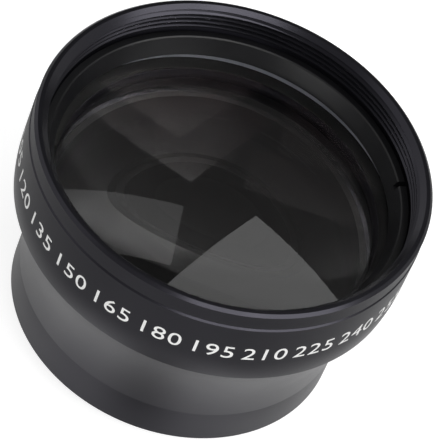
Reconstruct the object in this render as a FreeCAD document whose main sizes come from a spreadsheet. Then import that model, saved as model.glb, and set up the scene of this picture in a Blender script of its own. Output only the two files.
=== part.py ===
"""Screw-in teleconverter lens: a wide front ring, an engraved band and a bell-shaped rear barrel.

Millimetres. The lens axis is Z and points out of the front. The origin is the centre of the rear
shoulder, the flat face that meets the camera lens, so the rear thread reaches below zero.
Every piece is turned about Z, so most of them are one closed outline and one revolution.
"""
import FreeCAD, Part

import math
import os
import re

import Sketcher

doc = FreeCAD.newDocument("Teleconverter")

SIZES = [
    # the front ring and its filter thread
    ("filter_major_radius", 23.0, "root of the female filter thread, M46"),
    ("filter_thread_height", 0.4, "crest to root of the filter thread"),
    ("filter_thread_depth", 3.4, "front plane to the end of the filter thread"),
    ("filter_lead", 0.9, "lead-in bevel at the mouth of the filter thread"),
    ("rim_wall", 1.36, "wall of the front ring outside the filter thread"),
    ("rim_bevel", 0.36, "bevel on the outer front edge"),
    ("flange_height", 2.42, "height of the front ring's visible wall"),
    ("thread_pitch", 0.75, "pitch of both the filter thread and the rear thread"),
    ("crest_share", 0.25, "part of the pitch that a thread's crest keeps"),
    ("root_share", 0.125, "part of the pitch that a thread's root takes"),
    ("thread_clear", 0.1, "how far the thread tool stands off the crest"),
    ("relief_depth", 0.05, "how far the turned relief is cut behind the filter thread's root"),
    ("spigot_wall", 0.55, "wall of the front ring's spigot, which screws into the housing"),
    ("spigot_length", 1.5, "how far the spigot goes into the housing"),
    ("groove_width", 0.08, "fine open seam between the front ring and the band"),
    # the housing with the engraved band
    ("band_step", 0.09, "how far the engraved band stands out past the front ring"),
    ("band_bevel", 0.25, "bevel on the band's upper edge"),
    ("band_roll_drop", 0.3, "how far the band's lower part rolls in"),
    ("band_roll_length", 3.6, "height of the rolled part of the band"),
    ("band_drop", 1.55, "seat of the front pair of glasses down to the band's lower edge"),
    ("housing_wall", 0.7, "wall of the housing beside the front pair"),
    ("joint_length", 2.45, "how far the housing's spigot screws into the barrel"),
    ("seat_width", 2.1, "how much of the front pair's rear edge rests on its seat"),
    ("seat_bevel", 0.5, "bevel between that seat and the bore of the web below it"),
    ("web_thickness", 1.6, "thickness of that web"),
    # the front pair of glasses
    ("crown_front_curve", 82.0, "radius of curvature of the front surface"),
    ("cement_curve", 150.0, "radius of curvature where the pair is cemented"),
    ("flint_rear_curve", 400.0, "radius of curvature of the pair's rear surface"),
    ("crown_edge", 1.38, "front glass at its edge"),
    ("flint_thickness", 1.4, "second glass at its centre"),
    ("group_gap", 0.52, "air at the centre between the front pair and the third glass"),
    # the ring that holds the front pair in
    ("ring_inset", 0.5, "thread root to the threaded outside of the front retaining ring"),
    ("ring_wall", 1.0, "that outside to the edge of the front glasses"),
    ("ring_face_width", 0.95, "width of the retaining ring's face"),
    ("ring_overlap", 0.8, "how far the retaining ring reaches over the front glass"),
    ("ring_height", 2.35, "height of the retaining ring"),
    ("ring_recess", 0.45, "retaining ring's face to the end of the filter thread"),
    ("ring_lip", 0.15, "upright lip at the foot of the ring's tapered bore"),
    ("ring_bevel", 0.15, "bevel between the ring's face and its tapered bore"),
    ("slot_width", 0.7, "spanner slots of both retaining rings"),
    ("slot_depth", 0.9, "depth of the front ring's spanner slots"),
    ("slot_angle", 26.0, "turn of the slots about the axis, from X, in degrees"),
    ("gasket_thickness", 0.25, "thickness of the soft washers at their outer edge"),
    ("gasket_setback", 0.2, "how far the washers stay back from the bore beside them"),
    # the third glass
    ("third_overlap", 0.6, "how far the third glass reaches past the bore above it"),
    ("third_glass_curve", 60.0, "radius of curvature of its front surface"),
    ("third_glass_edge", 1.2, "third glass at its edge"),
    ("third_seat_width", 1.2, "how much of the third glass rests on its seat"),
    ("collar_wall", 1.2, "wall of the barrel round the third glass, inside the housing's spigot"),
    # the rear barrel
    ("flare_step", 0.15, "band's lower edge to the top of the barrel's flare"),
    ("flare_curve", 38.5, "radius of the flare's hollow curve"),
    ("crease_height", 5.05, "rear shoulder to the crease where the flare begins"),
    ("barrel_wall", 1.55, "wall of the plain rear end of the barrel"),
    ("barrel_bevel", 0.2, "bevel on the barrel's rear edge"),
    # the rear thread ring
    ("mount_wall", 1.74, "wall of the thread ring under the rear thread's root"),
    ("rear_thread_height", 0.36, "root to crest of the male rear thread"),
    ("rear_thread_length", 2.6, "rear shoulder to the end of the rear thread"),
    ("rear_lead", 0.35, "lead-in bevel on the rear thread"),
    ("rear_neck_length", 0.4, "turned neck between the shoulder and the rear thread"),
    ("mount_step", 0.5, "rear thread's crest to the outside that screws into the barrel"),
    ("mount_ring_height", 3.0, "how far the thread ring reaches into the barrel"),
    ("mount_recess", 0.05, "how far the thread ring's face stands inside the rear shoulder"),
    # the rear cell and its glass
    ("cell_clearance", 0.7, "flange of the rear cell to the bore round it"),
    ("cell_flange_width", 1.2, "how far that flange stands out from the cell"),
    ("cell_flange_height", 1.2, "thickness of that flange"),
    ("cell_wall", 2.1, "wall of the rear cell beside its glass"),
    ("cell_lip", 1.0, "thickness of the lip in front of the rear glass"),
    ("cell_lip_width", 1.2, "how far that lip reaches over the glass"),
    ("cell_recess", 0.3, "how far the cell ends short of the rear thread's end"),
    ("shim_thickness", 0.2, "shim under the flange, which sets the spacing of the glasses"),
    ("rear_glass_front_curve", 60.0, "radius of curvature of its hollow front surface"),
    ("rear_glass_rear_curve", 35.5, "radius of curvature of its hollow rear surface"),
    ("rear_glass_thickness", 1.8, "rear glass at its centre"),
    ("rear_ring_width", 0.65, "threaded outside of the rear retaining ring past the glass"),
    ("rear_ring_overlap", 1.0, "how far the rear retaining ring reaches over the glass"),
    ("rear_ring_height", 0.85, "height of the rear retaining ring"),
    ("rear_ring_recess", 0.12, "how far the rear retaining ring stands inside the cell"),
    ("rear_slot_depth", 0.5, "depth of the rear ring's spanner slots"),
    # the baffle between the third glass and the rear cell
    ("baffle_wall", 0.8, "wall of the baffle at its foot"),
    ("baffle_rim", 0.9, "width of the baffle's rim round its front opening"),
    ("baffle_height", 7.253, "height of the baffle"),
    # clearances
    ("thread_gap", 0.05, "radial gap of the screwed joints"),
    ("glass_gap", 0.05, "radial gap between a glass and its bore"),
    ("seat_gap", 0.02, "axial gap where a piece is set down on another"),
]


def sag(curve, at):
    """Depth of a spherical surface at a distance from its centre line."""
    return f"({curve} - sqrt(({curve})^2 - ({at})^2))"


def minus(*terms):
    return "(" + " - ".join(terms) + ")"


def plus(*terms):
    return "(" + " + ".join(terms) + ")"


def crown_surface(at):
    return minus("[crown_front]", sag("[crown_front_curve]", at))


def third_surface(at):
    return minus("[third_front]", sag("[third_glass_curve]", at))


RADII = [
    # outwards from the filter thread
    ("rim_radius", "[filter_major_radius] + [rim_wall]"),
    ("band_radius", "[rim_radius] + [band_step]"),
    ("flare_top_radius", "[band_radius] - [band_roll_drop] - [flare_step]"),
    ("filter_crest_radius", "[filter_major_radius] - [filter_thread_height]"),
    ("relief_radius", "[filter_major_radius] + [relief_depth]"),
    ("spigot_radius", "[relief_radius] + [spigot_wall]"),
    # inwards to the bore between the glasses
    ("ring_outer_radius", "[filter_major_radius] - [ring_inset]"),
    ("ring_bore_radius", "[ring_outer_radius] - [ring_face_width]"),
    ("front_glass_radius", "[ring_outer_radius] - [ring_wall]"),
    ("ring_glass_radius", "[front_glass_radius] - [ring_overlap]"),
    ("housing_spigot_radius", "[front_glass_radius] + [glass_gap] + [housing_wall]"),
    ("seat_radius", "[front_glass_radius] - [seat_width]"),
    ("web_bore_radius", "[seat_radius] - [seat_bevel]"),
    ("third_glass_radius", "[web_bore_radius] + [third_overlap]"),
    ("third_seat_radius", "[third_glass_radius] - [third_seat_width]"),
    ("collar_radius", "[third_glass_radius] + [glass_gap] + [collar_wall]"),
    ("baffle_opening", "[third_seat_radius] - [baffle_rim]"),
    # the rear end
    ("cell_flange_radius", "[third_seat_radius] - [cell_clearance]"),
    ("mount_ring_bore", "[cell_flange_radius] - [cell_flange_width]"),
    ("rear_minor_radius", "[mount_ring_bore] + [mount_wall]"),
    ("rear_major_radius", "[rear_minor_radius] + [rear_thread_height]"),
    ("mount_ring_radius", "[rear_major_radius] + [mount_step]"),
    ("barrel_radius", "[mount_ring_radius] + [thread_gap] + [barrel_wall]"),
    ("cell_body_radius", "[mount_ring_bore] - [thread_gap]"),
    ("rear_glass_radius", "[cell_body_radius] - [cell_wall] - [glass_gap]"),
    ("cell_lip_radius", "[rear_glass_radius] - [cell_lip_width]"),
    ("rear_ring_radius", "[rear_glass_radius] + [rear_ring_width]"),
    ("rear_ring_bore", "[rear_glass_radius] - [rear_ring_overlap]"),
]

# Heights above the rear shoulder, in the order in which the pieces are stacked
HEIGHTS = [
    ("cell_foot", "[cell_recess] - [rear_thread_length]"),
    ("rear_ring_foot", "[cell_foot] + [rear_ring_recess]"),
    ("rear_ring_top", "[rear_ring_foot] + [rear_ring_height]"),
    ("rear_gasket_foot", "[rear_ring_top] + [seat_gap]"),
    ("rear_gasket_top", "[rear_gasket_foot] + [gasket_thickness]"),
    ("rear_glass_foot", "[rear_gasket_top] + [seat_gap]"),
    (
        "rear_glass_rear",
        plus("[rear_glass_foot]", sag("[rear_glass_rear_curve]", "[rear_glass_radius]")),
    ),
    ("rear_glass_front", "[rear_glass_rear] + [rear_glass_thickness]"),
    (
        "rear_glass_rim",
        plus("[rear_glass_front]", sag("[rear_glass_front_curve]", "[rear_glass_radius]")),
    ),
    ("cell_lip_foot", "[rear_glass_rim] + [seat_gap]"),
    ("cell_top", "[cell_lip_foot] + [cell_lip]"),
    ("shim_top", "[mount_ring_height] + [shim_thickness]"),
    ("baffle_foot", "[cell_top] + [seat_gap]"),
    ("baffle_top", "[baffle_foot] + [baffle_height]"),
    ("third_seat_height", "[baffle_top] + [seat_gap]"),
    ("third_rear", "[third_seat_height] + [seat_gap]"),
    ("third_rim_top", "[third_rear] + [third_glass_edge]"),
    (
        "third_front",
        plus("[third_rim_top]", sag("[third_glass_curve]", "[third_glass_radius]")),
    ),
    (
        "third_gasket_foot",
        plus(third_surface("[web_bore_radius] + [gasket_setback]"), "[seat_gap]"),
    ),
    ("third_gasket_top", "[third_gasket_foot] + [gasket_thickness]"),
    ("flint_rear", "[third_front] + [group_gap]"),
    (
        "seat_gasket_top",
        minus(
            plus("[flint_rear]", sag("[flint_rear_curve]", "[seat_radius] + [gasket_setback]")),
            "[seat_gap]",
        ),
    ),
    ("lens_seat_height", "[seat_gasket_top] - [gasket_thickness]"),
    ("seat_bevel_foot", "[lens_seat_height] - [seat_bevel]"),
    ("web_foot", "[lens_seat_height] - [web_thickness]"),
    ("cement", "[flint_rear] + [flint_thickness]"),
    ("crown_rim_foot", plus("[cement]", sag("[cement_curve]", "[front_glass_radius]"))),
    ("crown_rim_top", "[crown_rim_foot] + [crown_edge]"),
    (
        "crown_front",
        plus("[crown_rim_top]", sag("[crown_front_curve]", "[front_glass_radius]")),
    ),
    ("ring_foot", plus(crown_surface("[ring_glass_radius]"), "[seat_gap]")),
    ("ring_face", "[ring_foot] + [ring_height]"),
    ("filter_thread_foot", "[ring_face] + [ring_recess]"),
    ("front_height", "[filter_thread_foot] + [filter_thread_depth]"),
    ("flange_foot", "[front_height] - [flange_height]"),
    ("band_top", "[flange_foot] - [groove_width]"),
    ("spigot_foot", "[band_top] - [spigot_length]"),
    ("band_base_height", "[lens_seat_height] - [band_drop]"),
    ("joint_foot", "[band_base_height] - [joint_length]"),
    ("band_roll_top", "[band_base_height] + [band_roll_length]"),
]

sheet_of = {alias: "Sizes" for alias, _, _ in SIZES}
sheet_of.update({alias: "Places" for alias, _ in RADII + HEIGHTS})


def size(text):
    """Turn the names in a formula into references to the sheets' cells."""
    return re.sub(r"\[(\w+)\]", lambda found: f"{sheet_of[found[1]]}.{found[1]}", text)


sheet = doc.addObject("Spreadsheet::Sheet", "Sizes")
for row, (alias, value, meaning) in enumerate(SIZES, start=1):
    sheet.set(f"A{row}", meaning)
    sheet.set(f"B{row}", str(value))
    sheet.setAlias(f"B{row}", alias)

places = doc.addObject("Spreadsheet::Sheet", "Places")
for row, (alias, formula) in enumerate(RADII + HEIGHTS, start=1):
    places.set(f"A{row}", "=" + size(formula).replace("Places.", ""))
    places.setAlias(f"A{row}", alias)
doc.recompute()

LEFT, RIGHT = 1, -1
SMALLEST_CUT = 0.1  # cubic millimetres that a slot or a thread takes away at the least


def origin_plane(body, role):
    return next(item for item in body.Origin.OriginFeatures if item.Role == role)


def number(owner, text):
    value = owner.evalExpression(size(text))
    return float(getattr(value, "Value", value))


def arc_between(start, end, radius, side):
    """The short arc from start to end. Its centre lies on the given side of that direction."""
    chord = end - start
    normal = FreeCAD.Vector(-chord.y, chord.x, 0).normalize()
    rise = math.sqrt(radius**2 - (chord.Length / 2) ** 2)
    centre = (start + end) * 0.5 + normal * (rise * side)
    first, last = (start, end) if side == LEFT else (end, start)
    angles = [math.atan2(point.y - centre.y, point.x - centre.x) for point in (first, last)]
    if angles[1] < angles[0]:
        angles[1] += 2 * math.pi
    circle = Part.Circle(centre, FreeCAD.Vector(0, 0, 1), radius)
    return Part.ArcOfCircle(circle, *angles)


def outline(body, name, corners):
    """A closed sketch in the plane of the axis. Each corner is a radius and a height, as formulas,
    and may add the radius and side of an arc that leads to the next corner."""
    sketch = body.newObject("Sketcher::SketchObject", name)
    sketch.AttachmentSupport = [(origin_plane(body, "XZ_Plane"), "")]
    sketch.MapMode = "FlatFace"
    points = [
        FreeCAD.Vector(number(sketch, corner[0]), number(sketch, corner[1]), 0)
        for corner in corners
    ]
    starts, ends = [], []
    for index, corner in enumerate(corners):
        here, after = points[index], points[(index + 1) % len(points)]
        if len(corner) == 2:
            sketch.addGeometry(Part.LineSegment(here, after), False)
            starts.append((index, 1))
            ends.append((index, 2))
        else:
            arc = arc_between(here, after, number(sketch, corner[2]), corner[3])
            sketch.addGeometry(arc, False)
            order = (1, 2) if corner[3] == LEFT else (2, 1)
            starts.append((index, order[0]))
            ends.append((index, order[1]))
    for index in range(len(corners)):
        after = starts[(index + 1) % len(corners)]
        sketch.addConstraint(Sketcher.Constraint("Coincident", *ends[index], *after))
    for index, corner in enumerate(corners):
        if corner[0] == "0":
            sketch.addConstraint(Sketcher.Constraint("PointOnObject", *starts[index], -2))
        else:
            bind(sketch, "DistanceX", starts[index], points[index].x, corner[0])
        bind(sketch, "DistanceY", starts[index], points[index].y, corner[1])
        if len(corner) > 2:
            value = number(sketch, corner[2])
            place = sketch.addConstraint(Sketcher.Constraint("Radius", index, value))
            sketch.setExpression(f"Constraints[{place}]", size(corner[2]))
    return sketch


def bind(sketch, kind, point, value, text):
    """Hold one coordinate of a point, counted from the origin, to a formula."""
    place = sketch.addConstraint(Sketcher.Constraint(kind, -1, 1, *point, value))
    sketch.setExpression(f"Constraints[{place}]", size(text))


def turned(name, corners):
    """A body turned about the axis from one outline."""
    body = doc.addObject("PartDesign::Body", name)
    body.Label = name
    profile = outline(body, name + "_outline", corners)
    revolution = body.newObject("PartDesign::Revolution", name + "_turned")
    revolution.Profile = profile
    revolution.ReferenceAxis = (profile, ["V_Axis"])
    revolution.Angle = 360
    return body


def thread_cut(body, crest, root, foot, height):
    """Cut a thread with 60 degree flanks. The tooth starts half a pitch below the wall, in the
    open, and its mouth stands clear of the crest, so that it cuts through everywhere."""
    female = number(sheet, root) > number(sheet, crest)
    mouth = minus(crest, "[thread_clear]") if female else plus(crest, "[thread_clear]")
    open_half = "([thread_pitch] * (1 - [crest_share]) / 2 + [thread_clear] * tan(30))"
    root_half = "([thread_pitch] * [root_share] / 2)"
    tooth = outline(
        body,
        body.Name + "_tooth",
        [
            (mouth, minus(foot, open_half)),
            (root, minus(foot, root_half)),
            (root, plus(foot, root_half)),
            (mouth, plus(foot, open_half)),
        ],
    )
    thread = body.newObject("PartDesign::SubtractiveHelix", body.Name + "_thread")
    thread.Profile = tooth
    thread.ReferenceAxis = (tooth, ["V_Axis"])
    thread.Mode = 0
    thread.setExpression("Pitch", size("[thread_pitch]"))
    thread.setExpression("Height", size(height))
    return thread


def spanner_slots(body, top, depth, from_below=False):
    """Two slots in line across a ring, cut down from one of its faces."""
    sketch = body.newObject("Sketcher::SketchObject", body.Name + "_slots_outline")
    sketch.AttachmentSupport = [(origin_plane(body, "XY_Plane"), "")]
    sketch.MapMode = "FlatFace"
    sketch.setExpression("AttachmentOffset.Base.z", size(top))
    reach = "[rim_radius]"
    half_length, half_width = number(sketch, reach), number(sketch, "[slot_width] / 2")
    signs = [(-1, -1), (1, -1), (1, 1), (-1, 1)]
    corners = [FreeCAD.Vector(half_length * a, half_width * b, 0) for a, b in signs]
    for index, here in enumerate(corners):
        sketch.addGeometry(Part.LineSegment(here, corners[(index + 1) % 4]), False)
    for index in range(4):
        sketch.addConstraint(Sketcher.Constraint("Coincident", index, 2, (index + 1) % 4, 1))
    for index, (a, b) in enumerate(signs):
        bind(sketch, "DistanceX", (index, 1), corners[index].x, f"{a} * {reach}")
        bind(sketch, "DistanceY", (index, 1), corners[index].y, f"{b} * [slot_width] / 2")
    pocket = body.newObject("PartDesign::Pocket", body.Name + "_slots")
    pocket.Profile = sketch
    pocket.Reversed = from_below
    pocket.setExpression("Length", size(depth))
    body.setExpression("Placement.Rotation.Angle", size("[slot_angle]"))
    return pocket


def front_ring():
    body = turned(
        "front_ring",
        [
            ("[relief_radius]", "[spigot_foot]"),
            ("[spigot_radius]", "[spigot_foot]"),
            ("[spigot_radius]", "[flange_foot]"),
            ("[rim_radius]", "[flange_foot]"),
            ("[rim_radius]", "[front_height] - [rim_bevel]"),
            ("[rim_radius] - [rim_bevel]", "[front_height]"),
            ("[filter_crest_radius] + [filter_lead]", "[front_height]"),
            ("[filter_crest_radius]", "[front_height] - [filter_lead]"),
            ("[filter_crest_radius]", "[filter_thread_foot]"),
            ("[relief_radius]", "[filter_thread_foot]"),
        ],
    )
    thread_cut(
        body,
        "[filter_crest_radius]",
        "[filter_major_radius]",
        "([filter_thread_foot] - [thread_pitch] / 2)",
        "[filter_thread_depth] + [thread_pitch]",
    )
    return body


def front_housing():
    roll = "(([band_roll_drop]^2 + [band_roll_length]^2) / (2 * [band_roll_drop]))"
    spigot_bore = "([collar_radius] + [thread_gap])"
    return turned(
        "front_housing",
        [
            ("[web_bore_radius]", "[web_foot]"),
            (spigot_bore, "[web_foot]"),
            (spigot_bore, "[joint_foot] + [thread_gap]"),
            ("[housing_spigot_radius]", "[joint_foot] + [thread_gap]"),
            ("[housing_spigot_radius]", "[band_base_height]"),
            ("[band_radius] - [band_roll_drop]", "[band_base_height]", roll, LEFT),
            ("[band_radius]", "[band_roll_top]"),
            ("[band_radius]", minus("[band_top]", "[band_bevel]")),
            ("[band_radius] - [band_bevel]", "[band_top]"),
            ("[spigot_radius] + [thread_gap]", "[band_top]"),
            ("[spigot_radius] + [thread_gap]", "[spigot_foot]"),
            ("[ring_outer_radius] + [thread_gap]", "[spigot_foot]"),
            ("[ring_outer_radius] + [thread_gap]", minus("[ring_foot]", "[thread_pitch]")),
            ("[front_glass_radius] + [glass_gap]", minus("[ring_foot]", "[thread_pitch]")),
            ("[front_glass_radius] + [glass_gap]", "[lens_seat_height]"),
            ("[seat_radius]", "[lens_seat_height]"),
            ("[web_bore_radius]", "[seat_bevel_foot]"),
        ],
    )


def front_retaining_ring():
    body = turned(
        "front_retaining_ring",
        [
            ("[ring_glass_radius]", "[ring_foot]"),
            ("[ring_outer_radius]", "[ring_foot]"),
            ("[ring_outer_radius]", "[ring_face]"),
            ("[ring_bore_radius] + [ring_bevel]", "[ring_face]"),
            ("[ring_bore_radius]", minus("[ring_face]", "[ring_bevel]")),
            ("[ring_glass_radius]", plus("[ring_foot]", "[ring_lip]")),
        ],
    )
    spanner_slots(body, "[ring_face]", "[slot_depth]")
    return body


def front_gasket():
    """Soft washer between the retaining ring and the front glass, thickest at its outer edge."""
    inner = "([ring_glass_radius] + [gasket_setback])"
    curve = "([crown_front_curve] + [seat_gap] / 2)"
    lift = "([seat_gap] / 2)"
    return turned(
        "front_gasket",
        [
            ("[front_glass_radius]", plus(crown_surface("[front_glass_radius]"), lift)),
            ("[front_glass_radius]", "[ring_foot]"),
            (inner, "[ring_foot]"),
            (inner, plus(crown_surface(inner), lift), curve, RIGHT),
        ],
    )


def seat_gasket():
    """Flat soft washer that the front pair of glasses rests on."""
    inner = "([seat_radius] + [gasket_setback])"
    return turned(
        "seat_gasket",
        [
            (inner, "[lens_seat_height]"),
            ("[front_glass_radius]", "[lens_seat_height]"),
            ("[front_glass_radius]", "[seat_gasket_top]"),
            (inner, "[seat_gasket_top]"),
        ],
    )


def crown_element():
    edge = "[front_glass_radius]"
    return turned(
        "crown_element",
        [
            ("0", "[cement]", "[cement_curve]", LEFT),
            (edge, "[crown_rim_foot]"),
            (edge, "[crown_rim_top]", "[crown_front_curve]", LEFT),
            ("0", "[crown_front]"),
        ],
    )


def flint_element():
    edge = "[front_glass_radius]"
    return turned(
        "flint_element",
        [
            ("0", "[flint_rear]", "[flint_rear_curve]", LEFT),
            (edge, plus("[flint_rear]", sag("[flint_rear_curve]", edge))),
            (edge, "[crown_rim_foot]", "[cement_curve]", RIGHT),
            ("0", "[cement]"),
        ],
    )


def group_spacer():
    """Sleeve from the housing's web down to the washer on the third glass."""
    return turned(
        "group_spacer",
        [
            ("[web_bore_radius]", "[third_gasket_top]"),
            ("[third_glass_radius]", "[third_gasket_top]"),
            ("[third_glass_radius]", "[web_foot]"),
            ("[web_bore_radius]", "[web_foot]"),
        ],
    )


def third_gasket():
    inner = "([web_bore_radius] + [gasket_setback])"
    return turned(
        "third_gasket",
        [
            (inner, "[third_gasket_foot]"),
            ("[third_glass_radius]", "[third_gasket_foot]"),
            ("[third_glass_radius]", "[third_gasket_top]"),
            (inner, "[third_gasket_top]"),
        ],
    )


def third_element():
    edge = "[third_glass_radius]"
    return turned(
        "third_element",
        [
            ("0", "[third_rear]"),
            (edge, "[third_rear]"),
            (edge, "[third_rim_top]", "[third_glass_curve]", LEFT),
            ("0", "[third_front]"),
        ],
    )


def barrel_shell():
    mount_bore = "([mount_ring_radius] + [thread_gap])"
    mount_step = "([mount_ring_height] + [thread_gap])"
    glass_bore = "([third_glass_radius] + [glass_gap])"
    spigot_bore = "([housing_spigot_radius] + [thread_gap])"
    return turned(
        "barrel_shell",
        [
            (mount_bore, "0"),
            ("[barrel_radius] - [barrel_bevel]", "0"),
            ("[barrel_radius]", "[barrel_bevel]"),
            ("[barrel_radius]", "[crease_height]", "[flare_curve]", RIGHT),
            ("[flare_top_radius]", "[band_base_height]"),
            (spigot_bore, "[band_base_height]"),
            (spigot_bore, "[joint_foot]"),
            ("[collar_radius]", "[joint_foot]"),
            ("[collar_radius]", "[web_foot]"),
            (glass_bore, "[web_foot]"),
            (glass_bore, "[third_seat_height]"),
            ("[third_seat_radius]", "[third_seat_height]"),
            ("[third_seat_radius]", mount_step),
            (mount_bore, mount_step),
        ],
    )


def light_baffle():
    """Black funnel between the third glass and the rear cell, which kills stray light."""
    outer = "([third_seat_radius] - [glass_gap])"
    throat = "([cell_lip_radius] + [baffle_wall] / 2)"
    return turned(
        "light_baffle",
        [
            (throat, "[baffle_foot]"),
            (outer, "[baffle_foot]"),
            (outer, "[baffle_top]"),
            ("[baffle_opening]", "[baffle_top]"),
            (throat, "[baffle_foot] + [baffle_wall] / 2"),
        ],
    )


def rear_mount_ring():
    body = turned(
        "rear_mount_ring",
        [
            ("[mount_ring_bore]", "-[rear_thread_length]"),
            ("[rear_major_radius] - [rear_lead]", "-[rear_thread_length]"),
            ("[rear_major_radius]", "[rear_lead] - [rear_thread_length]"),
            ("[rear_major_radius]", "-[rear_neck_length]"),
            ("[rear_minor_radius]", "-[rear_neck_length]"),
            ("[rear_minor_radius]", "[mount_recess]"),
            ("[mount_ring_radius]", "[mount_recess]"),
            ("[mount_ring_radius]", "[mount_ring_height]"),
            ("[mount_ring_bore]", "[mount_ring_height]"),
        ],
    )
    thread_cut(
        body,
        "[rear_major_radius]",
        "[rear_minor_radius]",
        "(-[rear_thread_length] - [thread_pitch] / 2)",
        "[rear_thread_length]",
    )
    return body


def focus_shim():
    return turned(
        "focus_shim",
        [
            ("[mount_ring_bore] + [thread_gap]", "[mount_ring_height]"),
            ("[cell_flange_radius]", "[mount_ring_height]"),
            ("[cell_flange_radius]", "[shim_top]"),
            ("[mount_ring_bore] + [thread_gap]", "[shim_top]"),
        ],
    )


def rear_cell():
    glass_bore = "([rear_glass_radius] + [glass_gap])"
    ring_bore = "([rear_ring_radius] + [thread_gap])"
    thread_top = plus("[rear_ring_top]", "[thread_pitch] / 2")
    return turned(
        "rear_cell",
        [
            (ring_bore, "[cell_foot]"),
            ("[cell_body_radius]", "[cell_foot]"),
            ("[cell_body_radius]", "[shim_top]"),
            ("[cell_flange_radius]", "[shim_top]"),
            ("[cell_flange_radius]", plus("[shim_top]", "[cell_flange_height]")),
            ("[cell_body_radius]", plus("[shim_top]", "[cell_flange_height]")),
            ("[cell_body_radius]", "[cell_top]"),
            ("[cell_lip_radius]", "[cell_top]"),
            ("[cell_lip_radius]", "[cell_lip_foot]"),
            (glass_bore, "[cell_lip_foot]"),
            (glass_bore, thread_top),
            (ring_bore, thread_top),
        ],
    )


def rear_element():
    edge = "[rear_glass_radius]"
    return turned(
        "rear_element",
        [
            ("0", "[rear_glass_rear]", "[rear_glass_rear_curve]", RIGHT),
            (edge, "[rear_glass_foot]"),
            (edge, "[rear_glass_rim]", "[rear_glass_front_curve]", RIGHT),
            ("0", "[rear_glass_front]"),
        ],
    )


def rear_gasket():
    inner = "([rear_ring_bore] + [gasket_setback])"
    return turned(
        "rear_gasket",
        [
            (inner, "[rear_gasket_foot]"),
            ("[rear_glass_radius]", "[rear_gasket_foot]"),
            ("[rear_glass_radius]", "[rear_gasket_top]"),
            (inner, "[rear_gasket_top]"),
        ],
    )


def rear_retaining_ring():
    body = turned(
        "rear_retaining_ring",
        [
            ("[rear_ring_bore]", "[rear_ring_foot]"),
            ("[rear_ring_radius]", "[rear_ring_foot]"),
            ("[rear_ring_radius]", "[rear_ring_top]"),
            ("[rear_ring_bore]", "[rear_ring_top]"),
        ],
    )
    spanner_slots(body, "[rear_ring_foot]", "[rear_slot_depth]", from_below=True)
    return body


pieces = [
    front_ring(),
    front_housing(),
    front_retaining_ring(),
    front_gasket(),
    seat_gasket(),
    crown_element(),
    flint_element(),
    group_spacer(),
    third_gasket(),
    third_element(),
    barrel_shell(),
    light_baffle(),
    rear_mount_ring(),
    focus_shim(),
    rear_cell(),
    rear_element(),
    rear_gasket(),
    rear_retaining_ring(),
]
doc.recompute()

for item in doc.Objects:
    if "Invalid" in item.State or "Error" in item.State:
        raise RuntimeError(f"{item.Name} failed: {item.State}")
for piece in pieces:
    if piece.Shape.isNull() or not piece.Shape.isValid():
        raise RuntimeError(f"{piece.Label} has no valid shape")
    for feature in piece.Group:
        if feature.TypeId in ("PartDesign::Pocket", "PartDesign::SubtractiveHelix"):
            cut = feature.BaseFeature.Shape.Volume - feature.Shape.Volume
            if cut < SMALLEST_CUT:
                raise RuntimeError(f"{feature.Name} cuts nothing")

os.makedirs("parts", exist_ok=True)
for piece in pieces:
    piece.Shape.exportStep(f"parts/{piece.Label}.step")
    print(f"{piece.Label:22s} {piece.Shape.Volume:9.1f} mm3  {len(piece.Shape.Solids)} solid")
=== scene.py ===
"""The look of a screw-in teleconverter lens: satin black anodised metal, clear glass, white numerals.

Metres. The lens axis is Z, out of the front glass, and the lens stands on its rear thread.
"""

import math

import bmesh
import bpy
from mathutils import Matrix, Vector


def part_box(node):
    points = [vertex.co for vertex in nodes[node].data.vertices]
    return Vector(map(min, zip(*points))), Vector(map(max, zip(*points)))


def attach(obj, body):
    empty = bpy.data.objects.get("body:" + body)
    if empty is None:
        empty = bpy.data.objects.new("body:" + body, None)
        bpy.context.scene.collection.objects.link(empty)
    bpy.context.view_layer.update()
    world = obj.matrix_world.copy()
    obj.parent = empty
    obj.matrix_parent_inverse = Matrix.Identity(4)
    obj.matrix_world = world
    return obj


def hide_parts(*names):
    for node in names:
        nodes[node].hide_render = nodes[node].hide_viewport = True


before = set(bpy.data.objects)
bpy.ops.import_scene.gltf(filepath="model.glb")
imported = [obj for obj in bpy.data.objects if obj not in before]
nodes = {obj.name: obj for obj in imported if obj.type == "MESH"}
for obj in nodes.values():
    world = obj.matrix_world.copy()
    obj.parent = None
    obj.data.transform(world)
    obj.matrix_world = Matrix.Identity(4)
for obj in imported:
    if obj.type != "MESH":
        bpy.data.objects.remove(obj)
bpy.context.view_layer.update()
MM = 0.001
scene = bpy.context.scene

# The camera. The photograph was taken with a long lens from about 0.38 m, looking down at the
# front glass from the side, and the camera was rolled, so the lens leans to the right.
FRAME_PIXELS = 440
SENSOR_WIDTH = 36.0
FOCAL_PIXELS = 3196.0
NEAREST_SEEN = 10 * MM
RIM_CENTRE = Vector((1.982, 8.047, -376.084)) * MM  # seen from the camera: right, up, backwards
AXIS_IN_VIEW = Vector((0.26747, 0.62399, 0.73425)).normalized()

front_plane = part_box("front_ring")[1].z
backwards = Vector((0, 0, 1))
away = -(backwards - backwards.dot(AXIS_IN_VIEW) * AXIS_IN_VIEW).normalized()
across = away.cross(AXIS_IN_VIEW)
part_to_view = Matrix((across, away, AXIS_IN_VIEW)).transposed()
view_to_part = part_to_view.transposed()

camera_data = bpy.data.cameras.new("camera")
camera_data.sensor_width = SENSOR_WIDTH
camera_data.lens = FOCAL_PIXELS / FRAME_PIXELS * SENSOR_WIDTH
camera_data.clip_start = NEAREST_SEEN
camera = bpy.data.objects.new("camera", camera_data)
camera.matrix_world = view_to_part.to_4x4()
camera.location = Vector((0, 0, front_plane)) - view_to_part @ RIM_CENTRE
scene.collection.objects.link(camera)
scene.camera = camera


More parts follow.
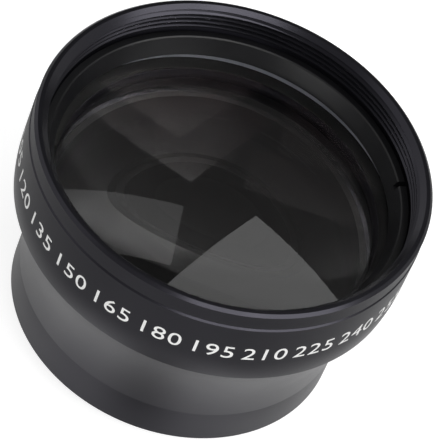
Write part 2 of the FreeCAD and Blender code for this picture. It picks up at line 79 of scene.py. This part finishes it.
# The floor: a sheet of white paper that the lens stands on. It reads white to the camera. Metal
# and glass see in it a painted pool of light round the lens, a glow that no lamp gives, painted
# darker to the left and right, under the lens, and in a painted shadow of the camera.
def add_node(tree, kind, settings=None, links=None):
    """Add a node to a node tree. Settings are its sockets' values or its own properties by name,
    and links give the output that feeds each socket."""
    node = tree.nodes.new(kind)
    for name, value in (settings or {}).items():
        if isinstance(name, int) or name in node.inputs:
            node.inputs[name].default_value = value
        else:
            setattr(node, name, value)
    for name, output in (links or {}).items():
        tree.links.new(output, node.inputs[name])
    return node


def colour(code):
    """A linear colour from an sRGB hex value."""
    shares = [int(code[place : place + 2], 16) / 255 for place in (1, 3, 5)]
    linear = [s / 12.92 if s <= 0.04045 else ((s + 0.055) / 1.055) ** 2.4 for s in shares]
    return (*linear, 1.0)


def new_material(name):
    """An empty material and its node tree."""
    material = bpy.data.materials.new(name)
    material.use_nodes = True
    material.node_tree.nodes.clear()
    return material, material.node_tree


PAPER_HALF = 1.5
PAPER_GAP = 0.02 * MM  # from the lens down to the paper
PAPER_COLOUR = "#b4b4b4"
PAPER_LIFT = 0.80  # the light that the camera sees it give off
# Painted light: the glow that metal and glass see in the paper is a painted pool, with painted shade
# to the left and right and under the lens.
PAINTED_POOL_LIFT = 0.62  # and that metal and glass see it give off in the pool
PAINTED_POOL_REST = 0.10  # and outside the pool
PAINTED_POOL_FADE, PAINTED_POOL_END = 26 * MM, 46 * MM
PAINTED_SIDE_SHARE = 0.45  # how much of it remains to the left and right
PAINTED_SIDE_START, PAINTED_SIDE_FULL = 15 * MM, 25 * MM
PAINTED_UNDER_FULL, PAINTED_UNDER_END = 18 * MM, 24 * MM
# A painted shadow of the camera on the paper, which only metal and glass see.
PAINTED_SHADOW_MIDDLE = (2 * MM, -30 * MM, 0)
PAINTED_SHADOW_FULL, PAINTED_SHADOW_END = 0, 13 * MM

paper_material, tree = new_material("matt white paper")
rays = add_node(tree, "ShaderNodeLightPath")
place = add_node(tree, "ShaderNodeTexCoord").outputs["Object"]
reach = add_node(tree, "ShaderNodeVectorMath", {"operation": "LENGTH"}, {0: place})
painted_shadow_reach = add_node(
    tree, "ShaderNodeVectorMath", {"operation": "DISTANCE", 1: PAINTED_SHADOW_MIDDLE}, {0: place}
)
paper_axes = add_node(tree, "ShaderNodeSeparateXYZ", links={"Vector": place})
aside = add_node(
    tree, "ShaderNodeMath", {"operation": "ABSOLUTE"}, {0: paper_axes.outputs["X"]}
)


def smooth_step(tree, value, start, end, low=0.0, high=1.0):
    """A value that changes softly from low to high while another goes from start to end."""
    step = add_node(
        tree,
        "ShaderNodeMapRange",
        {
            "interpolation_type": "SMOOTHSTEP",
            "From Min": start,
            "From Max": end,
            "To Min": low,
            "To Max": high,
        },
        {"Value": value},
    )
    return step.outputs["Result"]


def calculate(tree, operation, first, second):
    """The product of two values, or the larger one, or the like."""
    result = add_node(tree, "ShaderNodeMath", {"operation": operation}, {0: first, 1: second})
    return result.outputs[0]


# The painted pool of light that only metal and glass see, with its painted shade at the sides, under
# the lens and in the camera's painted shadow.
painted_pool = calculate(
    tree, "MAXIMUM", rays.outputs["Is Glossy Ray"], rays.outputs["Is Transmission Ray"]
)
for share in (
    smooth_step(tree, reach.outputs["Value"], PAINTED_POOL_FADE, PAINTED_POOL_END, PAINTED_POOL_LIFT, PAINTED_POOL_REST),
    smooth_step(tree, aside.outputs[0], PAINTED_SIDE_START, PAINTED_SIDE_FULL, 1.0, PAINTED_SIDE_SHARE),
    smooth_step(tree, reach.outputs["Value"], PAINTED_UNDER_FULL, PAINTED_UNDER_END),
    smooth_step(tree, painted_shadow_reach.outputs["Value"], PAINTED_SHADOW_FULL, PAINTED_SHADOW_END),
):
    painted_pool = calculate(tree, "MULTIPLY", painted_pool, share)
white_and_painted_pool = add_node(
    tree,
    "ShaderNodeMath",
    {"operation": "MULTIPLY_ADD", 1: PAPER_LIFT},
    {0: rays.outputs["Is Camera Ray"], 2: painted_pool},
)


def speckle(tree, place, grain, detail, distortion=0.0):
    """Noise from 0 to 1, whose spots have about the size of the grain."""
    noise = add_node(
        tree,
        "ShaderNodeTexNoise",
        {"Scale": 1 / grain, "Detail": detail, "Distortion": distortion},
        {"Vector": place},
    )
    return noise.outputs["Fac"]


def relief(tree, height, strength, depth):
    """The surface direction of a fine relief, from its height between 0 and 1."""
    bump = add_node(
        tree, "ShaderNodeBump", {"Strength": strength, "Distance": depth}, {"Height": height}
    )
    return bump.outputs["Normal"]


def skin(tree, settings, links=None):
    """Give a material its surface."""
    surface = add_node(tree, "ShaderNodeBsdfPrincipled", settings, links)
    add_node(tree, "ShaderNodeOutputMaterial", links={"Surface": surface.outputs[0]})


fibres = speckle(tree, place, grain=0.4 * MM, detail=3.0)
skin(
    tree,
    {"Base Color": colour(PAPER_COLOUR), "Roughness": 0.9, "Emission Color": (1, 1, 1, 1)},
    {
        "Emission Strength": white_and_painted_pool.outputs[0],
        "Normal": relief(tree, fibres, strength=0.05, depth=0.05 * MM),
    },
)

floor_mesh = bpy.data.meshes.new("paper_floor")
corners = [(-1, -1), (1, -1), (1, 1), (-1, 1)]
floor_mesh.from_pydata(
    [(x * PAPER_HALF, y * PAPER_HALF, 0) for x, y in corners], [], [(0, 1, 2, 3)]
)
floor_mesh.materials.append(paper_material)
floor = bpy.data.objects.new("paper_floor", floor_mesh)
floor.location.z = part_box("rear_mount_ring")[0].z - PAPER_GAP
scene.collection.objects.link(floor)

# The studio: two large softboxes overhead that the glasses mirror, a smaller and brighter one by
# the camera's right hand that the bevels mirror, and a low one that lights the numerals. The walls
# left and right are pale, the right one has a soft-edged window, and the rest is darker.
SOFTBOXES = [
    # name, centre, turn in degrees (x, z), width, depth, radiance
    ("softbox_right", (0.215, 0.120, 0.52), (0, -20), 0.44, 0.36, 1.55),
    ("softbox_left", (-0.245, 0.205, 0.53), (0, 8), 0.42, 0.15, 0.65),
    ("softbox_key", (0.172, -0.360, 0.408), (46.5, 25.5), 0.30, 0.16, 4.2),
    ("softbox_low", (-0.300, -0.640, 0.130), (81, -25), 0.50, 0.12, 6.0),
]
DARK_ROOM = 0.12
WALLS = [
    # axis, a direction's share along it where the wall starts and where it is full, radiance
    ("X", 0.45, 0.75, 0.5),
    ("X", -0.45, -0.75, 0.7),
    ("Y", -0.30, -0.75, 0.35),
]
WINDOW = 3.4
WINDOW_WAY = (0.75, -0.33, 0.57)  # the direction of its middle, which the thread mirrors
WINDOW_START, WINDOW_FULL = 0.90, 0.96  # cosines of the angle to it

for name, centre, (tip, turn), width, depth, radiance in SOFTBOXES:
    data = bpy.data.lights.new(name, "AREA")
    data.shape = "RECTANGLE"
    data.size, data.size_y = width, depth
    data.energy = radiance * math.pi * width * depth
    softbox = bpy.data.objects.new(name, data)
    softbox.location = centre
    softbox.rotation_euler = (math.radians(tip), 0, math.radians(turn))
    scene.collection.objects.link(softbox)

room = bpy.data.worlds.new("room")
room.use_nodes = True
tree = room.node_tree
direction = add_node(tree, "ShaderNodeTexCoord").outputs["Generated"]
room_axes = add_node(tree, "ShaderNodeSeparateXYZ", links={"Vector": direction})
nearness = add_node(
    tree, "ShaderNodeVectorMath", {"operation": "DOT_PRODUCT", 1: WINDOW_WAY}, {0: direction}
)
brightness = smooth_step(
    tree, nearness.outputs["Value"], WINDOW_START, WINDOW_FULL, 0.0, WINDOW
)
for axis, start, full, radiance in WALLS:
    wall = smooth_step(tree, room_axes.outputs[axis], start, full, DARK_ROOM, radiance)
    brightness = calculate(tree, "MAXIMUM", brightness, wall)
background = tree.nodes["Background"]
background.inputs["Color"].default_value = (1, 1, 1, 1)
tree.links.new(brightness, background.inputs["Strength"])
scene.world = room
scene.view_settings.view_transform = "Standard"

# The barrel: the bell-shaped rear half, turned from aluminium bar, bead-blasted and anodised black.
# The blasted grain gives a soft satin sheen that brightens at grazing views. It is turned here
# finer than its CAD node, so that the light runs smoothly down the flare.
BLAST_GRAIN = 0.11 * MM  # about ten times the real grain, which is too fine to show
DYE_PATCHES = 4 * MM
SATIN_TINT = "#efecff"  # the dye's faint violet cast


def blend(tree, share, first, last):
    """A colour that goes from one hex value to another as the share goes from 0 to 1."""
    mix = add_node(
        tree, "ShaderNodeMix", {"data_type": "RGBA", 6: colour(first), 7: colour(last)}, {0: share}
    )
    return mix.outputs[2]


def between(tree, share, low, high):
    """A value that goes from low to high as the share goes from 0 to 1."""
    span = add_node(tree, "ShaderNodeMapRange", {"To Min": low, "To Max": high}, {"Value": share})
    return span.outputs["Result"]


satin, tree = new_material("bead-blasted black anodised aluminium")
place = add_node(tree, "ShaderNodeTexCoord").outputs["Object"]
grain = speckle(tree, place, BLAST_GRAIN, detail=2.0)
patches = speckle(tree, place, DYE_PATCHES, detail=3.0)
skin(
    tree,
    {"Specular Tint": colour(SATIN_TINT)},
    {
        "Base Color": blend(tree, patches, "#08080a", "#0e0e11"),
        "Roughness": between(tree, patches, 0.22, 0.28),
        "Normal": relief(tree, grain, strength=0.12, depth=0.02 * MM),
    },
)

TURN_STEPS = 288
BOW_STEPS = 32
SHARP_EDGE = math.radians(4)


def bow(start, end, curve):
    """Points on an arc from start, which they leave out, to end. A curve above 0 bulges away from
    the axis and one below 0 is hollow. Points are (radius, height)."""
    first, last = Vector(start), Vector(end)
    chord = last - first
    outwards = Vector((abs(chord.y), -math.copysign(chord.x, chord.x * chord.y))).normalized()
    rise = math.sqrt(curve * curve - chord.length_squared / 4)
    centre = (first + last) / 2 - outwards * math.copysign(rise, curve)
    begin = math.atan2(first.y - centre.y, first.x - centre.x)
    swing = math.atan2(last.y - centre.y, last.x - centre.x) - begin
    swing = (swing + math.pi) % math.tau - math.pi
    angles = [begin + swing * step / BOW_STEPS for step in range(1, BOW_STEPS + 1)]
    return [
        (centre.x + abs(curve) * math.cos(angle), centre.y + abs(curve) * math.sin(angle))
        for angle in angles
    ]


def turned(name, node, outline, materials, kinds=None):
    """A piece turned round the lens axis that stands for its CAD node. The outline is a list of
    (radius, height), and it is open where it starts and ends on the axis. Kinds give the material
    of each of its steps."""
    body = bmesh.new()
    turns = [math.tau * step / TURN_STEPS for step in range(TURN_STEPS)]
    rings = [
        [body.verts.new((out * math.cos(turn), out * math.sin(turn), height)) for turn in turns]
        if out
        else [body.verts.new((0, 0, height))]
        for out, height in outline
    ]
    if outline[0][0]:
        rings.append(rings[0])
    for index, (here, after) in enumerate(zip(rings, rings[1:])):
        for step in range(TURN_STEPS):
            beside = (step + 1) % TURN_STEPS
            if len(here) == 1:
                face = body.faces.new((here[0], after[step], after[beside]))
            elif len(after) == 1:
                face = body.faces.new((here[step], after[0], here[beside]))
            else:
                face = body.faces.new((here[step], after[step], after[beside], here[beside]))
            face.smooth = True
            face.material_index = kinds[index] if kinds else 0
    bmesh.ops.recalc_face_normals(body, faces=body.faces)
    for edge in body.edges:
        if edge.calc_face_angle(0) > SHARP_EDGE:
            edge.smooth = False
    mesh = bpy.data.meshes.new(name)
    body.to_mesh(mesh)
    body.free()
    for material in materials:
        mesh.materials.append(material)
    piece = bpy.data.objects.new(name, mesh)
    scene.collection.objects.link(piece)
    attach(piece, "root")
    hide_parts(node)


FLARE_CURVE = 38.5 * MM
CREASE_HEIGHT = 5.05 * MM
BARREL_RADIUS = 20.6 * MM
BARREL_BEVEL = 0.2 * MM
COLLAR_WALL = 1.2 * MM
THIRD_SEAT_WIDTH = 1.2 * MM
THIRD_SEAT_GAP = 0.02 * MM
SPIGOT_RADIUS = 22.25 * MM  # the housing's, which screws into the barrel
SPIGOT_LENGTH = 2.45 * MM
THREAD_GAP = 0.05 * MM

barrel_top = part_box("barrel_shell")[1]
mount_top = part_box("rear_mount_ring")[1]
third_low, third_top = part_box("third_element")
spacer_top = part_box("group_spacer")[1]
mount_bore = mount_top.x + THREAD_GAP
mount_step = mount_top.z + THREAD_GAP
glass_bore = third_top.x + THREAD_GAP
collar_radius = glass_bore + COLLAR_WALL
third_seat = third_top.x - THIRD_SEAT_WIDTH
third_seat_height = third_low.z - THIRD_SEAT_GAP
joint_foot = barrel_top.z - SPIGOT_LENGTH
crease = (BARREL_RADIUS, CREASE_HEIGHT)
turned(
    "turned_barrel",
    "barrel_shell",
    [
        (mount_bore, 0),
        (BARREL_RADIUS - BARREL_BEVEL, 0),
        (BARREL_RADIUS, BARREL_BEVEL),
        crease,
        *bow(crease, (barrel_top.x, barrel_top.z), -FLARE_CURVE),
        (SPIGOT_RADIUS + THREAD_GAP, barrel_top.z),
        (SPIGOT_RADIUS + THREAD_GAP, joint_foot),
        (collar_radius, joint_foot),
        (collar_radius, spacer_top.z),
        (glass_bore, spacer_top.z),
        (glass_bore, third_seat_height),
        (third_seat, third_seat_height),
        (third_seat, mount_step),
        (mount_bore, mount_step),
    ],
    [satin],
)

# The housing: the wide band with the numerals, which rolls in a little towards the barrel. It
# holds the front glasses on an inner seat, and it is the same satin black aluminium.
BAND_ROLL_DROP = 0.3 * MM
BAND_ROLL_LENGTH = 3.6 * MM
BAND_ROLL_CURVE = (BAND_ROLL_DROP**2 + BAND_ROLL_LENGTH**2) / (2 * BAND_ROLL_DROP)
BAND_BEVEL = 0.25 * MM
SEAT_RISE = 1.55 * MM  # from the band's foot to the seat of the front glasses
SEAT_RADIUS = 19.4 * MM
SEAT_BEVEL = 0.5 * MM
RIM_JOINT_RADIUS = 23.6 * MM  # where the front ring screws in
RING_THREAD_PITCH = 0.75 * MM  # the retaining ring's

housing_low, housing_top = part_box("front_housing")
band_radius = housing_top.x
band_foot = barrel_top.z
seat_height = band_foot + SEAT_RISE
ring_low, ring_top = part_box("front_retaining_ring")
ring_bore = ring_top.x + THREAD_GAP
ring_bore_foot = ring_low.z - RING_THREAD_PITCH
crown_low, crown_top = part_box("crown_element")
crown_bore = crown_top.x + THREAD_GAP
rim_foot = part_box("front_ring")[0].z
rim_bore = RIM_JOINT_RADIUS + THREAD_GAP
roll_foot = (band_radius - BAND_ROLL_DROP, band_foot)
turned(
    "turned_housing",
    "front_housing",
    [
        (SEAT_RADIUS - SEAT_BEVEL, spacer_top.z),
        (collar_radius + THREAD_GAP, spacer_top.z),
        (collar_radius + THREAD_GAP, housing_low.z),
        (SPIGOT_RADIUS, housing_low.z),
        (SPIGOT_RADIUS, band_foot),
        roll_foot,
        *bow(roll_foot, (band_radius, band_foot + BAND_ROLL_LENGTH), BAND_ROLL_CURVE),
        (band_radius, housing_top.z - BAND_BEVEL),
        (band_radius - BAND_BEVEL, housing_top.z),
        (rim_bore, housing_top.z),
        (rim_bore, rim_foot),
        (ring_bore, rim_foot),
        (ring_bore, ring_bore_foot),
        (crown_bore, ring_bore_foot),
        (crown_bore, seat_height),
        (SEAT_RADIUS, seat_height),
        (SEAT_RADIUS - SEAT_BEVEL, seat_height - SEAT_BEVEL),
    ],
    [satin],
)


# The two rings with the lens's own threads, for a filter in front and the camera lens behind. They
# are cut on a lathe with a real helix, and have the same satin finish.
def dress(names, material):
    """Give CAD nodes their material."""
    for name in names:
        nodes[name].data.materials.clear()
        nodes[name].data.materials.append(material)


dress(("front_ring", "rear_mount_ring"), satin)

# The inner metalwork: retaining rings, spacer, baffle and rear cell. Turned aluminium with a matt
# black finish that swallows stray light. The tool's fine rings still show on it.
LATHE_FEED = 0.16 * MM  # about three times the real feed, which is too fine to show
DUST_PATCHES = 2.5 * MM
MATT_GLOSS = 0.35  # plain anodising has 0.5

matt, tree = new_material("matt black anodised turned aluminium")
place = add_node(tree, "ShaderNodeTexCoord").outputs["Object"]
metal_axes = add_node(tree, "ShaderNodeSeparateXYZ", links={"Vector": place})
flat_place = add_node(
    tree,
    "ShaderNodeCombineXYZ",
    links={"X": metal_axes.outputs["X"], "Y": metal_axes.outputs["Y"]},
)
from_axis = add_node(
    tree, "ShaderNodeVectorMath", {"operation": "LENGTH"}, {0: flat_place.outputs[0]}
)
lathe_place = add_node(
    tree,
    "ShaderNodeCombineXYZ",
    links={"X": from_axis.outputs["Value"], "Y": metal_axes.outputs["Z"]},
)
lathe_lines = speckle(tree, lathe_place.outputs[0], LATHE_FEED, detail=2.0)
dust = speckle(tree, place, DUST_PATCHES, detail=4.0)
skin(
    tree,
    {"Specular IOR Level": MATT_GLOSS},
    {
        "Base Color": blend(tree, dust, "#09090a", "#111114"),
        "Roughness": between(tree, dust, 0.34, 0.44),
        "Normal": relief(tree, lathe_lines, strength=0.10, depth=0.02 * MM),
    },
)
dress(
    (
        "front_retaining_ring",
        "group_spacer",
        "light_baffle",
        "rear_cell",
        "rear_retaining_ring",
    ),
    matt,
)

# The washers between glass and metal, punched from thin black vulcanised fibre. Matt, with short
# fibres in the face.
washer, tree = new_material("black vulcanised fibre washer")
place = add_node(tree, "ShaderNodeTexCoord").outputs["Object"]
strands = speckle(tree, place, grain=0.2 * MM, detail=4.0, distortion=1.5)
skin(
    tree,
    {"Roughness": 0.8},
    {
        "Base Color": blend(tree, strands, "#0a0a0a", "#1a1918"),
        "Normal": relief(tree, strands, strength=0.4, depth=0.03 * MM),
    },
)
dress(("front_gasket", "seat_gasket", "third_gasket", "rear_gasket"), washer)

# The shim under the rear cell's flange, cut from rolled brass strip. The rolls leave fine lines
# along the strip, and the bare metal has begun to dull in patches.
ROLL_STRETCH = (0.03, 1, 1)  # draws the noise out into lines along X

brass, tree = new_material("rolled brass strip")
place = add_node(tree, "ShaderNodeTexCoord").outputs["Object"]
strip_place = add_node(
    tree, "ShaderNodeVectorMath", {"operation": "MULTIPLY", 1: ROLL_STRETCH}, {0: place}
)
roll_lines = speckle(tree, strip_place.outputs[0], grain=0.12 * MM, detail=2.0)
tarnish = speckle(tree, place, grain=3 * MM, detail=3.0)
skin(
    tree,
    {"Metallic": 1.0},
    {
        "Base Color": blend(tree, tarnish, "#d3b15a", "#a98237"),
        "Roughness": between(tree, roll_lines, 0.22, 0.42),
        "Normal": relief(tree, roll_lines, strength=0.15, depth=0.01 * MM),
    },
)
dress(["focus_shim"], brass)

# The glasses: four polished lenses with finely ground edges, inked black on the inner two. The
# front two are cemented, and that face shows nothing. All but the front one are coated. Each is
# turned here finer than its CAD node, because a coarse surface would break up what it mirrors.
CROWN_INDEX = 1.517
FLINT_INDEX = 1.62
BARE = "#ffffff"
COATED = "#2c1618"


def optical_glass(name, index, coating):
    """Clear polished glass of that refractive index. The coating's colour is the share of its
    mirroring that it leaves."""
    material, tree = new_material(name)
    skin(
        tree,
        {
            "Base Color": (1, 1, 1, 1),
            "Roughness": 0.0,
            "IOR": index,
            "Transmission Weight": 1.0,
            "Specular Tint": colour(coating),
        },
    )
    return material


def ground_edge(name, dark, light):
    """The finely ground edge of a glass, bare or inked."""
    material, tree = new_material(name)
    place = add_node(tree, "ShaderNodeTexCoord").outputs["Object"]
    grit = speckle(tree, place, grain=0.25 * MM, detail=1.0)
    skin(
        tree,
        {"Roughness": 0.6},
        {
            "Base Color": blend(tree, grit, dark, light),
            "Normal": relief(tree, grit, strength=0.05, depth=0.01 * MM),
        },
    )
    return material


crown_glass = optical_glass("crown glass", CROWN_INDEX, BARE)
coated_crown_glass = optical_glass("coated crown glass", CROWN_INDEX, COATED)
coated_flint_glass = optical_glass("coated flint glass", FLINT_INDEX, COATED)
bare_edge = ground_edge("bare ground glass edge", "#a2a4ae", "#b4b6bf")
inked_edge = ground_edge("black edge ink on ground glass", "#050505", "#0b0b0b")
cement, tree = new_material("clear optical cement")
skin(tree, {"Base Color": (1, 1, 1, 1), "Alpha": 0.0})

SURFACE_RINGS = 40
POLISHED, EDGE, CEMENTED = 0, 1, 2  # places in a glass's list of materials
CROWN_CURVE = 82 * MM
CEMENT_CURVE = 150 * MM
FLINT_CURVE = 400 * MM
THIRD_CURVE = 60 * MM
FLAT = math.inf
REAR_FRONT_CURVE = 60 * MM
REAR_REAR_CURVE = 35.5 * MM


def sag(curve, out):
    """How much higher a surface lies at that distance from the axis than in its middle. Its curve
    is above 0 where its centre is above it."""
    if curve == FLAT:
        return 0
    return math.copysign(abs(curve) - math.sqrt(curve * curve - out * out), curve)


def surface_points(radius, middle, curve):
    """A glass surface from its middle to its edge, as (radius, height)."""
    outs = [
        radius * math.sin(ring / SURFACE_RINGS * math.pi / 2) for ring in range(SURFACE_RINGS + 1)
    ]
    return [(out, middle + sag(curve, out)) for out in outs]


def turned_glass(name, node, radius, front, rear, glass, edge):
    """A lens. A surface is its middle's height, its curve and its kind."""
    outline = surface_points(radius, *front[:2]) + surface_points(radius, *rear[:2])[::-1]
    kinds = [front[2]] * SURFACE_RINGS + [EDGE] + [rear[2]] * SURFACE_RINGS
    turned(name, node, outline, [glass, edge, cement], kinds)


turned_glass(
    "crown_lens",
    "crown_element",
    crown_top.x,
    (crown_top.z, -CROWN_CURVE, POLISHED),
    (crown_low.z, CEMENT_CURVE, CEMENTED),
    crown_glass,
    bare_edge,
)
flint_low, flint_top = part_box("flint_element")
turned_glass(
    "flint_lens",
    "flint_element",
    flint_top.x,
    (crown_low.z, CEMENT_CURVE, CEMENTED),
    (flint_low.z, FLINT_CURVE, POLISHED),
    coated_flint_glass,
    bare_edge,
)
turned_glass(
    "third_lens",
    "third_element",
    third_top.x,
    (third_top.z, -THIRD_CURVE, POLISHED),
    (third_low.z, FLAT, POLISHED),
    coated_flint_glass,
    inked_edge,
)
rear_low, rear_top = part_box("rear_element")
turned_glass(
    "rear_lens",
    "rear_element",
    rear_top.x,
    (rear_top.z - sag(REAR_FRONT_CURVE, rear_top.x), REAR_FRONT_CURVE, POLISHED),
    (rear_low.z + sag(REAR_REAR_CURVE, rear_top.x), -REAR_REAR_CURVE, POLISHED),
    coated_crown_glass,
    inked_edge,
)

# The band's numerals: a plain scale round the housing, engraved and filled with white enamel.
# Their tops point to the front rim.
NUMERAL_STEP = 15
NUMERAL_START = math.radians(90)
NUMERAL_HEIGHT = 2.06 * MM
NUMERAL_RISE = 3.99 * MM  # from the band's foot
NUMERAL_STRETCH = 1.2
NUMERAL_SPACING = 1.1
TYPE_HALF_DEPTH = 0.5  # in the font's units
ENAMEL_STAND = 0.015 * MM  # how far the enamel stands out of the band
ENAMEL_DEPTH = 0.03 * MM

enamel, tree = new_material("white enamel")
place = add_node(tree, "ShaderNodeTexCoord").outputs["Object"]
brushing = speckle(tree, place, grain=0.25 * MM, detail=2.0)
skin(
    tree,
    {"Roughness": 0.4},
    {
        "Base Color": blend(tree, brushing, "#f4f4f2", "#fcfcfb"),
        "Normal": relief(tree, brushing, strength=0.1, depth=0.02 * MM),
    },
)


def numeral(text, angle):
    """The mesh of one number, bent round the band."""
    curve = bpy.data.curves.new("numeral", "FONT")
    curve.body = text
    curve.align_x = "CENTER"
    curve.space_character = NUMERAL_SPACING
    curve.extrude = TYPE_HALF_DEPTH
    writing = bpy.data.objects.new("numeral", curve)
    mesh = bpy.data.meshes.new_from_object(writing)
    bpy.data.curves.remove(curve)
    heights = [vertex.co.y for vertex in mesh.vertices]
    foot = min(heights)
    scale = NUMERAL_HEIGHT / (max(heights) - foot)
    for vertex in mesh.vertices:
        along, up, out = vertex.co
        turn = angle + along * scale * NUMERAL_STRETCH / band_radius
        radius = band_radius + ENAMEL_STAND - (TYPE_HALF_DEPTH - out) * ENAMEL_DEPTH
        height = band_foot + NUMERAL_RISE + (up - foot) * scale
        vertex.co = (radius * math.cos(turn), radius * math.sin(turn), height)
    return mesh


ring_of_numbers = bmesh.new()
for number in range(0, 360, NUMERAL_STEP):
    digits = numeral(str(number), NUMERAL_START + math.radians(number))
    ring_of_numbers.from_mesh(digits)
    bpy.data.meshes.remove(digits)
numerals_mesh = bpy.data.meshes.new("band_numerals")
ring_of_numbers.to_mesh(numerals_mesh)
ring_of_numbers.free()
numerals_mesh.materials.append(enamel)
numerals = bpy.data.objects.new("band_numerals", numerals_mesh)
scene.collection.objects.link(numerals)
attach(numerals, "root")
